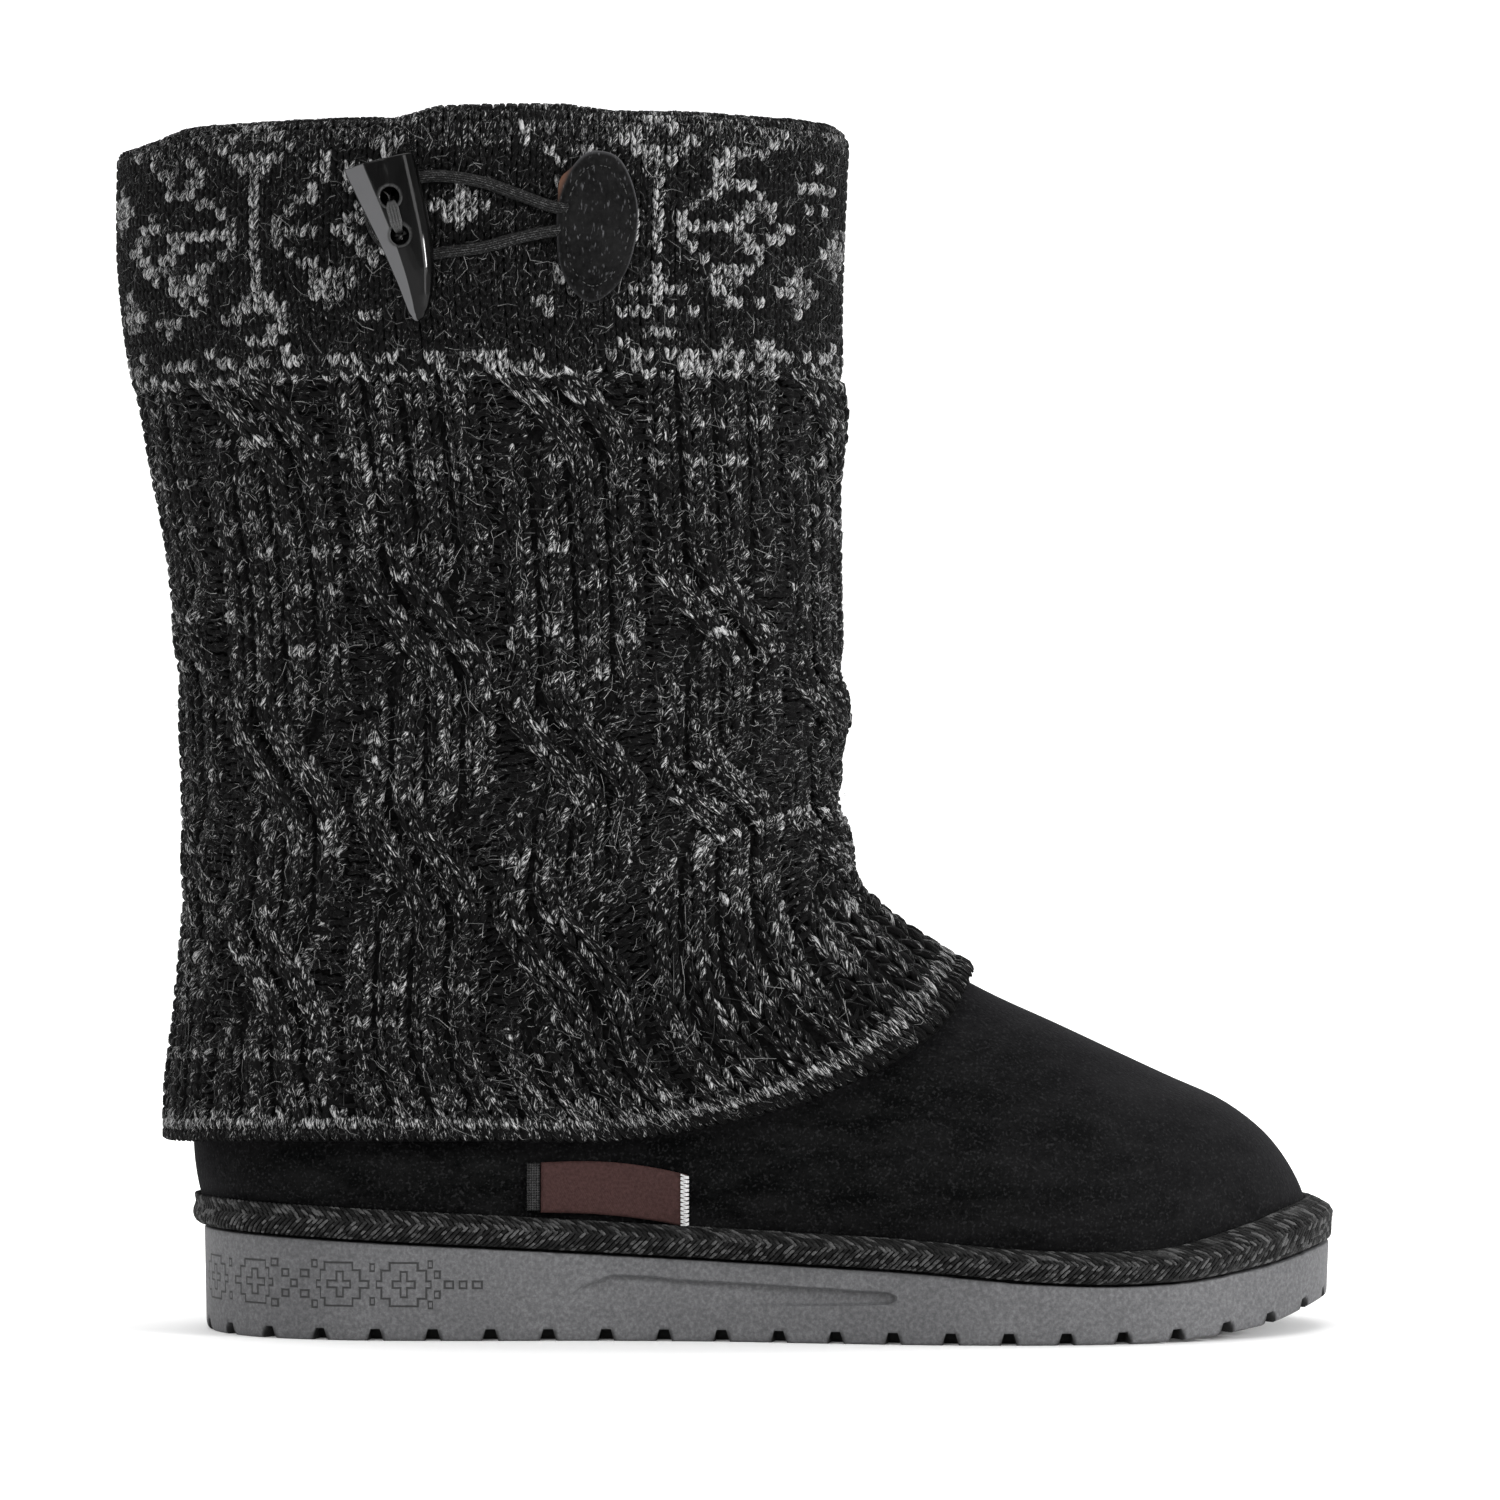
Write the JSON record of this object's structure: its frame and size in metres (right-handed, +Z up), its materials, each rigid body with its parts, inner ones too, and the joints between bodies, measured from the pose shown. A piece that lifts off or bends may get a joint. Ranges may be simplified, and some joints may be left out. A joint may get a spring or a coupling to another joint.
{
  "type": "winter boot",
  "caption": "Right winter boot: black suede foot and shaft on a grey rubber sole, with a charcoal cable-knit sleeve, patterned cuff, horn toggle and elastic loop.",
  "frame": {"origin": "on the ground under the middle of the heel, on a heel lug of the outsole", "axes": "+X to the toe, +Y to the inner side of the foot, +Z up"},
  "size_m": [0.2936, 0.1166, 0.288],
  "materials": {
    "rubber_sole": "matte, fine pebble grain",
    "binding_tape": "herringbone weave",
    "suede": "soft nap",
    "fleece": "short pile",
    "knit": "marled knit",
    "horn": "polished",
    "cord": "braided",
    "ribbon": "satin ribbon"
  },
  "bodies": {
    "root": {"outsole": "rubber_sole", "binding": "binding_tape", "upper": "suede", "insole": "fleece", "knit_sleeve": "knit", "toggle": "horn", "toggle_thread": "cord", "cord_loop": "cord", "patch": "suede", "seam_tape": "binding_tape", "label": "ribbon"}
  },
  "joints": []
}
